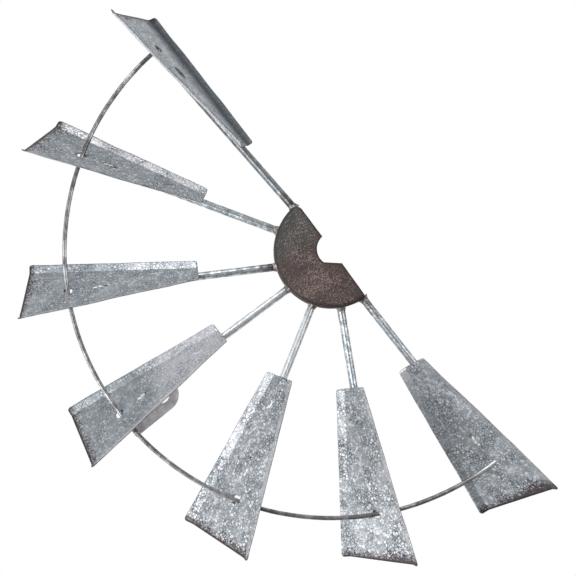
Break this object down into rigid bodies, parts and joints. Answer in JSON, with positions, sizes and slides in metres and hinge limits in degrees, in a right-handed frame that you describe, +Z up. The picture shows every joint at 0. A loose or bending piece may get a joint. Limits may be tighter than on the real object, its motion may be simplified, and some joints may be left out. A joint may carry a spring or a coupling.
{
  "type": "half windmill wall ornament",
  "caption": "Half windmill wheel for a wall: folded galvanised blades welded to spokes that fan from a rusted half hub, tied by a rod ring, with a tab to hang it by.",
  "frame": {"origin": "centre of the hanging hole in the tab, halfway through the sheet", "axes": "+Z up as it hangs, front toward -Y, wall toward +Y, +X along the straight side of the half wheel"},
  "size_m": [0.7605, 0.1016, 0.4051],
  "materials": {
    "galvanised_sheet": "spangled galvanised sheet with rust at the cut edges",
    "galvanised_rod": "galvanised round rod",
    "rusted_steel": "dark brown rust with pale speckles",
    "weathered_rod": "dull galvanised rod with brown patches",
    "weld_metal": "rough weld bead"
  },
  "bodies": {
    "root": {"blade_1": "galvanised_sheet", "blade_2": "galvanised_sheet", "blade_3": "galvanised_sheet", "blade_4": "galvanised_sheet", "blade_5": "galvanised_sheet", "blade_6": "galvanised_sheet", "blade_7": "galvanised_sheet", "hanging_tab": "galvanised_sheet", "hub_plate": "rusted_steel", "hub_weld_1": "weld_metal", "hub_weld_2": "weld_metal", "hub_weld_3": "weld_metal", "hub_weld_4": "weld_metal", "hub_weld_5": "weld_metal", "hub_weld_6": "weld_metal", "hub_weld_7": "weld_metal", "ring_rod": "weathered_rod", "ring_tack_1": "weld_metal", "ring_tack_2": "weld_metal", "ring_tack_3": "weld_metal", "ring_tack_4": "weld_metal", "ring_tack_5": "weld_metal", "ring_tack_6": "weld_metal", "ring_tack_7": "weld_metal", "seam_weld_1": "weld_metal", "seam_weld_2": "weld_metal", "seam_weld_3": "weld_metal", "seam_weld_4": "weld_metal", "seam_weld_5": "weld_metal", "seam_weld_6": "weld_metal", "seam_weld_7": "weld_metal", "slot_weld_1": "weld_metal", "slot_weld_2": "weld_metal", "slot_weld_3": "weld_metal", "slot_weld_4": "weld_metal", "slot_weld_5": "weld_metal", "slot_weld_6": "weld_metal", "slot_weld_7": "weld_metal", "spoke_1": "galvanised_rod", "spoke_2": "galvanised_rod", "spoke_3": "galvanised_rod", "spoke_4": "galvanised_rod", "spoke_5": "galvanised_rod", "spoke_6": "galvanised_rod", "spoke_7": "galvanised_rod", "tab_weld": "weld_metal"}
  },
  "joints": []
}
